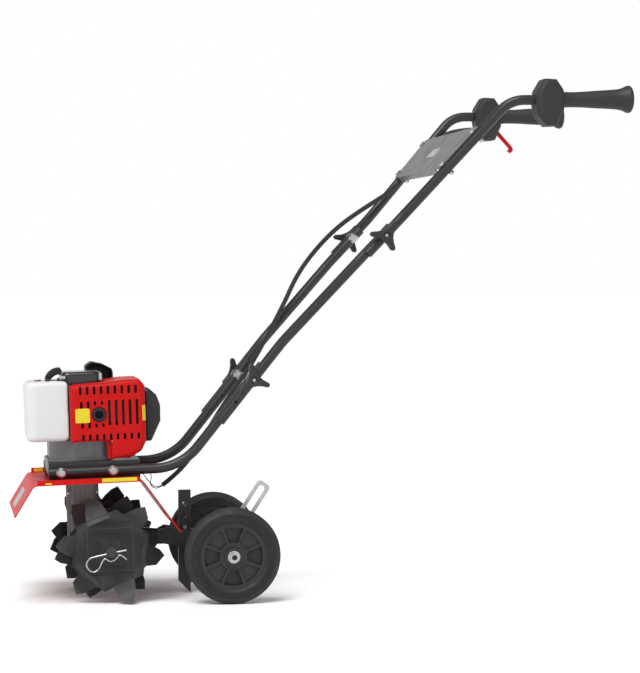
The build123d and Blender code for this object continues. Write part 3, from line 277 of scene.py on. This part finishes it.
def swept(points, radius_at, sides=20):
    """Fills a mesh with a tube along points; radius_at(distance) is its radius there."""
    def fill(bm):
        rings, distance = [], 0.0
        normal = (points[1] - points[0]).orthogonal().normalized()
        for i, point in enumerate(points):
            before, after = points[max(i - 1, 0)], points[min(i + 1, len(points) - 1)]
            tangent = (after - before).normalized()
            normal = (normal - tangent * normal.dot(tangent)).normalized()
            side = tangent.cross(normal)
            if i:
                distance += (point - points[i - 1]).length
            r = radius_at(distance)
            rings.append([bm.verts.new(point + r * (normal * math.cos(a) + side * math.sin(a)))
                          for a in (2 * math.pi * k / sides for k in range(sides))])
        for here, there in zip(rings, rings[1:]):
            for k in range(sides):
                bm.faces.new((here[k], here[(k + 1) % sides], there[(k + 1) % sides], there[k]))
        bm.faces.new(list(reversed(rings[0])))
        bm.faces.new(rings[-1])
    return fill


def route_points(route, spacing):
    """Evenly spaced points on the NURBS line whose control points are the route's."""
    curve = bpy.data.curves.new("route", "CURVE")
    curve.dimensions = "3D"
    spline = curve.splines.new("NURBS")
    spline.points.add(len(route) - 1)
    for point, (x, y, z) in zip(spline.points, route):
        point.co = (x, y, z, 1)
    spline.order_u = 3
    spline.use_endpoint_u = True
    spline.resolution_u = 24
    holder = bpy.data.objects.new("route", curve)
    scene.collection.objects.link(holder)
    bpy.context.view_layer.update()
    line = bpy.data.meshes.new_from_object(holder)
    raw = [v.co.copy() for v in line.vertices]
    bpy.data.objects.remove(holder)
    points, left = [raw[0]], spacing
    for a, b in zip(raw, raw[1:]):
        run = (b - a).length
        walked = 0.0
        while run - walked >= left:
            walked += left
            points.append(a.lerp(b, walked / run))
            left = spacing
        left -= run - walked
    return points


# ------------------------------------------------------------------ camera, light, floor
CAMERA_PLACE = Vector((-0.7206, -4.2359, 0.6263))
CAMERA_TURN, CAMERA_DROP = math.radians(9.93), math.radians(1.73)
LENS = 117.7
FLOOR_HALF = 60


def make_camera():
    data = bpy.data.cameras.new("camera")
    data.lens, data.sensor_width = LENS, 36
    camera = bpy.data.objects.new("camera", data)
    scene.collection.objects.link(camera)
    forward = Vector((math.sin(CAMERA_TURN) * math.cos(CAMERA_DROP),
                      math.cos(CAMERA_TURN) * math.cos(CAMERA_DROP), -math.sin(CAMERA_DROP)))
    camera.location = CAMERA_PLACE
    camera.rotation_mode = "QUATERNION"
    camera.rotation_quaternion = forward.to_track_quat("-Z", "Y")
    scene.camera = camera


def area_light(name, place, target, size, watts):
    data = bpy.data.lights.new(name, "AREA")
    data.shape, data.size, data.energy = "DISK", size, watts
    light = bpy.data.objects.new(name, data)
    scene.collection.objects.link(light)
    light.location = place
    light.rotation_mode = "QUATERNION"
    light.rotation_quaternion = (Vector(target) - Vector(place)).to_track_quat("-Z", "Y")


def sky_by_height(tree):
    """White round the horizon, dimmer overhead, so that the object keeps its contrast."""
    place = tree.nodes.new("ShaderNodeTexCoord")
    axes = tree.nodes.new("ShaderNodeSeparateXYZ")
    fade = tree.nodes.new("ShaderNodeMapRange")
    for socket, value in (("From Min", 0.12), ("From Max", 0.55), ("To Min", 1.0), ("To Max", 0.3)):
        fade.inputs[socket].default_value = value
    tree.links.new(place.outputs["Generated"], axes.inputs["Vector"])
    tree.links.new(axes.outputs["Z"], fade.inputs["Value"])
    tree.links.new(fade.outputs["Result"], tree.nodes["Background"].inputs["Strength"])


def make_studio():
    world = bpy.data.worlds.new("studio")
    world.use_nodes = True
    world.node_tree.nodes["Background"].inputs["Color"].default_value = (1, 1, 1, 1)
    sky_by_height(world.node_tree)
    scene.world = world
    scene.view_settings.view_transform = "Standard"
    area_light("key", (-1.6, -2.2, 2.6), (0, 0, 0.4), 1.6, 16)
    area_light("rim", (1.4, 2.0, 1.9), (0, 0, 0.5), 1.2, 12)
    daylight = bpy.data.lights.new("daylight", "SUN")
    daylight.energy, daylight.angle = 2.5, math.radians(35)
    sun = bpy.data.objects.new("daylight", daylight)
    scene.collection.objects.link(sun)
    sun.rotation_mode = "QUATERNION"
    sun.rotation_quaternion = Vector((0.3, 0.45, -1)).to_track_quat("-Z", "Y")

    def fill(bm):
        bmesh.ops.create_grid(bm, x_segments=2, y_segments=2, size=FLOOR_HALF)
    floor = new_mesh("floor", fill)
    look = Look("floor_pale", (0.95, 0.95, 0.95), 0.9, Specular_IOR_Level=0.1).mottle(2, 0.003)
    floor.data.materials.append(look.material)


make_camera()
make_studio()

# ------------------------------------------------------------------ moulded pieces
MOULDED = {
    "fuel_tank": (0.0022, 14), "starter_housing": (0.0016, 5), "air_filter_cover": (0.0016, 4),
    "starter_grip": (0.0009, 5), "grip_left": (0.0016, 6), "grip_right": (0.0014, 5),
    "rear_cover": (0.0016, 4),
    "lower_knob_left": (0.0008, 7), "lower_knob_right": (0.0008, 7),
    "upper_knob_left": (0.0008, 7), "upper_knob_right": (0.0008, 7),
    "fuel_cap": (0.0009, 4),
}
for node, (voxel, rounds) in MOULDED.items():
    moulded(node, voxel, rounds)


# ------------------------------------------------------------------ tyres
TREAD_BARS, TREAD_EDGE, TREAD_DEPTH = 7, 0.011, 0.0014
WALL_RIBS = 5
TYRE_STEPS = 144


def tyre_profile(half, outer, inner):
    """Closed (radius, y) section: tread with shallow grooves, ribbed side walls."""
    tread = []
    for i in range(TREAD_BARS):
        y = (-half + TREAD_EDGE) + 2 * (half - TREAD_EDGE) * i / (TREAD_BARS - 1)
        tread += [(outer - TREAD_DEPTH, y - 0.0011), (outer, y - 0.0007), (outer, y + 0.0007),
                  (outer - TREAD_DEPTH, y + 0.0011)]
    wall = []
    low, high = inner + 0.006, outer - 0.010
    for i in range(WALL_RIBS):
        r = high + (low - high) * i / (WALL_RIBS - 1)
        wall += [(r + 0.0010, half - 0.0009), (r + 0.0006, half), (r - 0.0006, half),
                 (r - 0.0010, half - 0.0009)]
    shoulder = [(outer - 0.0012, half - 0.0075), (outer - 0.0036, half - 0.0045),
                (outer - 0.0066, half - 0.0022)]
    far = [(r, -y) for r, y in reversed(shoulder + wall)]
    return tread + shoulder + wall + [(inner, half - 0.004), (inner, -half + 0.004)] + far


for hand in SIDES:
    low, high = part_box(f"tyre_{hand}")
    rim_low, rim_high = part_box(f"wheel_{hand}")
    outer, inner = (high.z - low.z) / 2, (rim_high.z - rim_low.z) / 2
    section = tyre_profile((high.y - low.y) / 2, outer, inner)
    tyre = new_mesh(f"ribbed_tyre_{hand}", lathe(section, TYRE_STEPS, (low + high) / 2))
    place_piece(tyre, "tyre_rubber", f"{hand}_wheel", (f"tyre_{hand}",))

# ------------------------------------------------------------------ tine clips
CLIP_WIRE = 0.0015
CLIP_INSET = 0.0024  # the CAD pin's radius
CLIP_SPACING = 0.0012
CLIP_LINE = [(-0.037, -0.010), (0.000, -0.0015), (0.0286, 0.0026)]
CLIP_WAVE = [(-0.037, -0.010), (-0.0445, -0.014), (-0.047, -0.025), (-0.040, -0.035),
             (-0.031, -0.0375), (-0.0225, -0.031), (-0.018, -0.019), (-0.012, -0.0105),
             (-0.004, -0.0175), (0.004, -0.0170), (0.010, -0.0115), (0.017, -0.0030),
             (0.029, -0.0150)]


def make_clips():
    low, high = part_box("tine_pins")
    x, z = (low.x + high.x) / 2, (low.z + high.z) / 2
    parts = []
    for hand, side in SIDES.items():
        y = side * (min(abs(low.y), abs(high.y)) - CLIP_INSET)
        for kind, line in (("leg", CLIP_LINE), ("wave", CLIP_WAVE)):
            route = [(x + dx, y, z + dz) for dx, dz in line]
            wire = swept(route_points(route, CLIP_SPACING), lambda d: CLIP_WIRE, 12)
            parts.append(new_mesh(f"{kind}_{hand}", wire))
    bm = bmesh.new()
    for part in parts:
        bm.from_mesh(part.data)
        bpy.data.objects.remove(part)
    mesh = bpy.data.meshes.new("tine_clips")
    bm.to_mesh(mesh)
    bm.free()
    clips = bpy.data.objects.new("tine_clips", mesh)
    scene.collection.objects.link(clips)
    place_piece(clips, "zinc", "tine_rotor", ("tine_pins",))


make_clips()

# ------------------------------------------------------------------ throttle conduit
CONDUIT_R, RIB_PITCH, RIB_DEPTH = 0.005, 0.0032, 0.0009
LOWER_ROUTE = [(-0.286, 0.025, 0.208), (-0.262, 0.028, 0.226), (-0.232, 0.038, 0.256),
               (-0.200, 0.054, 0.300), (-0.168, 0.068, 0.350), (-0.134, 0.069, 0.398),
               (-0.099, 0.076, 0.446), (-0.062, 0.098, 0.508)]
UPPER_ROUTE = [(-0.062, 0.098, 0.508), (-0.036, 0.1134, 0.5516), (-0.006, 0.118, 0.616),
               (0.034, 0.128, 0.668), (0.084, 0.140, 0.716), (0.142, 0.154, 0.754),
               (0.200, 0.170, 0.788), (0.248, 0.186, 0.838), (0.300, 0.203, 0.896),
               (0.344, 0.220, 0.916), (0.385, 0.229, 0.918)]


def ribbed(distance):
    return CONDUIT_R - RIB_DEPTH * (0.5 + 0.5 * math.cos(2 * math.pi * distance / RIB_PITCH))


def conduit(name, route, node):
    piece = new_mesh(name, swept(route_points(route, RIB_PITCH / 6), ribbed))
    place_piece(piece, "black_plastic", None, (node,))
    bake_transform(piece)


conduit("conduit_lower", LOWER_ROUTE, "control_cable_lower")
conduit("conduit_upper", UPPER_ROUTE, "control_cable_upper")


# ------------------------------------------------------------------ plain labels
def label(name, look, centre, across, up, body, thickness=0.0004):
    """A thin rounded plate lying on a face; across and up are its half sides."""
    across, up = Vector(across), Vector(up)
    out = across.cross(up).normalized()
    corners, steps = [], 5
    cut = 0.25 * min(across.length, up.length)
    a, u = across.normalized(), up.normalized()
    for sx, su, start in ((1, 1, 0), (-1, 1, 90), (-1, -1, 180), (1, -1, 270)):
        for k in range(steps + 1):
            angle = math.radians(start + 90 * k / steps)
            corners.append(Vector(centre) + sx * (across - a * cut) + su * (up - u * cut)
                           + cut * (a * math.cos(angle) + u * math.sin(angle)))

    def fill(bm):
        bottom = [bm.verts.new(c) for c in corners]
        top = [bm.verts.new(c + out * thickness) for c in corners]
        bm.faces.new(top)
        bm.faces.new(list(reversed(bottom)))
        for i in range(len(corners)):
            j = (i + 1) % len(corners)
            bm.faces.new((bottom[i], bottom[j], top[j], top[i]))
    piece = new_mesh(name, fill)
    piece.data.materials.append(LABEL_LOOKS[look].material)
    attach(piece, body)


LEAN = math.radians(1.8)  # the machine's own level leans this much on its wheels
OWN_ORIGIN = Vector((-0.3985, 0, 0.1005))  # the tine axle
ALONG = Vector((math.cos(LEAN), 0, math.sin(LEAN)))
UPWARD = Vector((-math.sin(LEAN), 0, math.cos(LEAN)))
ACROSS = Vector((0, 1, 0))


def own(x, y, z):
    """A place given in the machine's own level, from the tine axle."""
    return OWN_ORIGIN + ALONG * x + ACROSS * y + UPWARD * z


FILM = 0.0002  # thickness of a sticker
GAP = 0.00003  # clearance of a sticker from the face under it
COVER_FACE, LIP_FACE, FAR_LIP_FACE = -0.0900, -0.1400, 0.1380
label("square_label", "yellow", own(-0.0415, COVER_FACE - GAP, 0.2530), ALONG * 0.0136,
      UPWARD * 0.0136, "chassis")
bevel_out = (ALONG - ACROSS).normalized()
label("bevel_label", "yellow", own(0.0675, -0.080, 0.254) + bevel_out * 0.00925,
      (ALONG + ACROSS).normalized() * 0.004, UPWARD * 0.0145, "chassis", 0.0009)
label("lip_label", "yellow", own(0.020, LIP_FACE - GAP, 0.1346), ALONG * 0.0325,
      UPWARD * 0.0034, "chassis", FILM)
label("lip_mark", "yellow", own(-0.112, LIP_FACE - GAP, 0.1325), ALONG * 0.006,
      UPWARD * 0.0014, "chassis", FILM)
label("far_lip_mark", "yellow", own(-0.118, FAR_LIP_FACE - GAP, 0.1345), ALONG * 0.009,
      UPWARD * 0.003, "chassis", FILM)
slope = (ALONG * 0.0371 + UPWARD * 0.0573).normalized()
slope_out = slope.cross(ACROSS)
label("flap_label", "pale", own(-0.1612, 0.010, 0.0956) + slope_out * (0.001 + GAP),
      -ACROSS * 0.042, slope * 0.019, "chassis", FILM)
UPPER_FOOT = Vector((0.150, 0, 0.729))  # where the upper tubes' straight run begins
UPPER_SLOPE = Vector((0.6642, 0, 0.7476))
PLATE_OUT = Vector((-0.7476, 0, 0.6642))
PLATE_REACH = 0.0118  # the plate's outer face above the tubes' centres
label("plate_label", "pale", UPPER_FOOT + UPPER_SLOPE * 0.160 + PLATE_OUT * (PLATE_REACH + GAP),
      -ACROSS * 0.032, UPPER_SLOPE * 0.011, "upper_handle", FILM)


# ------------------------------------------------------------------ small fittings
DISC_SIDES = 32


def block(name, slot, low, high, body="chassis", bevel=0.0006):
    """A box between two corners in the machine's own level, its edges rounded."""
    def fill(bm):
        corners = [bm.verts.new(own(x, y, z)) for x in (low[0], high[0])
                   for y in (low[1], high[1]) for z in (low[2], high[2])]
        for face in ((0, 1, 3, 2), (4, 6, 7, 5), (0, 4, 5, 1), (2, 3, 7, 6), (0, 2, 6, 4),
                     (1, 5, 7, 3)):
            bm.faces.new([corners[i] for i in face])
        bmesh.ops.bevel(bm, geom=bm.edges[:], offset=bevel, segments=2, affect="EDGES")
    return place_piece(new_mesh(name, fill), slot, body)


def disc(name, slot, centre, axis, profile, body="chassis"):
    """A turned piece: (distance along the axis, radius) steps from the centre."""
    side = axis.orthogonal().normalized()
    other = axis.cross(side)
    angles = [2 * math.pi * k / DISC_SIDES for k in range(DISC_SIDES)]

    def fill(bm):
        rings = [[bm.verts.new(centre + axis * reach + r * (side * math.cos(a) + other * math.sin(a)))
                  for a in angles] for reach, r in profile]
        for here, there in zip(rings, rings[1:]):
            for k in range(DISC_SIDES):
                nxt = (k + 1) % DISC_SIDES
                bm.faces.new((here[k], here[nxt], there[nxt], there[k]))
        bm.faces.new(list(reversed(rings[0])))
        bm.faces.new(rings[-1])
    return place_piece(new_mesh(name, fill), slot, body)


PRESSING = 0.0415  # half the width of the stars' pressed square
GROOVE_TOP, GROOVE_LOW = 0.0520, -0.0435
STAR_FACE = 0.1195
SUNK = 0.0002  # how far a ridge or groove piece goes into the star
for hand, side in SIDES.items():
    face = side * STAR_FACE
    for name, slot, x0, x1, z0, z1, rise in (
            ("ridge_top", "tine_steel", -PRESSING, PRESSING, 0.0410, 0.0425, 0.0007),
            ("ridge_low", "tine_steel", -PRESSING, PRESSING, -0.0385, -0.0370, 0.0007),
            ("ridge_left", "tine_steel", -PRESSING - 0.0015, -PRESSING, -0.0385, 0.0425, 0.0007),
            ("ridge_right", "tine_steel", PRESSING, PRESSING + 0.0015, -0.0385, 0.0425, 0.0007),
            ("groove_top", "exhaust", -0.038, 0.038, GROOVE_TOP - 0.003, GROOVE_TOP + 0.003, 0.0002),
            ("groove_low", "exhaust", -0.042, 0.042, GROOVE_LOW - 0.0026, GROOVE_LOW + 0.0026,
             0.0002)):
        ys = sorted((face - side * SUNK, face + side * rise))
        block(f"{name}_{hand}", slot, (x0, ys[0], z0), (x1, ys[1], z1), "tine_rotor", 0.0001)

SHADE_SHEET_Y = (-0.0800, -0.0794)  # dark sheets of painted shade inside the cover, which also stop the view through its slots
for number, (x0, z0, x1, z1) in enumerate([
        (-0.0615, 0.2035, -0.0301, 0.3070), (0.0481, 0.2035, 0.0705, 0.3085),
        (-0.0301, 0.2941, 0.0481, 0.3085), (0.0100, 0.3085, 0.0640, 0.3115),
        (-0.0301, 0.2035, 0.0481, 0.2359)]):
    block(f"painted_shade_sheet_{number}", "exhaust", (x0, SHADE_SHEET_Y[0], z0), (x1, SHADE_SHEET_Y[1], z1),
          bevel=0.0001)
# painted shade: one more dark sheet deeper inside the cover, behind the slots
block("painted_shade_sheet_back", "exhaust", (0.006, -0.0412, 0.2035), (0.0705, -0.0406, 0.3110),
      bevel=0.0001)
block("skirt_flange", "red_plastic", (0.0035, -0.0796, 0.1690), (0.0125, -0.0600, 0.2050),
      bevel=0.001)
block("tank_strap", "black_paint", (-0.108, -0.058, 0.3194), (-0.068, -0.046, 0.3216))
block("strap_bracket", "zinc", (-0.079, -0.0515, 0.3217), (-0.069, -0.0440, 0.3275))
block("housing_tab", "zinc", (-0.0055, -0.0458, 0.317), (0.0005, -0.0422, 0.330))
disc("cap_vent", "bronze", own(-0.120, -0.018, 0.3182), UPWARD,
     [(0, 0.0066), (0.0018, 0.0066), (0.0026, 0.0058)], "fuel_cap")
for hand, side in SIDES.items():
    disc(f"axle_centre_{hand}", "exhaust", Vector((-0.172, side * 0.1802, 0.090)), ACROSS * side,
         [(0, 0.0052), (0.0003, 0.0052), (0.0004, 0.0048)])

WIRE_R, WIRE_SPACING = 0.0009, 0.002
WIRES = [[(-0.350, 0.020, 0.258), (-0.332, 0.021, 0.243), (-0.322, 0.022, 0.228),
          (-0.311, 0.023, 0.214), (-0.303, 0.024, 0.206), (-0.294, 0.025, 0.2045),
          (-0.284, 0.025, 0.2095)],
         [(-0.350, 0.030, 0.260), (-0.325, 0.030, 0.246), (-0.312, 0.029, 0.238),
          (-0.306, 0.028, 0.224), (-0.311, 0.028, 0.213), (-0.305, 0.027, 0.203),
          (-0.294, 0.026, 0.2015), (-0.284, 0.025, 0.2085)]]
for number, route in enumerate(WIRES):
    strand = swept(route_points(route, WIRE_SPACING), lambda d: WIRE_R, 10)
    wire = new_mesh(f"stop_wire_{number}", strand)
    place_piece(wire, "black_plastic", "chassis")
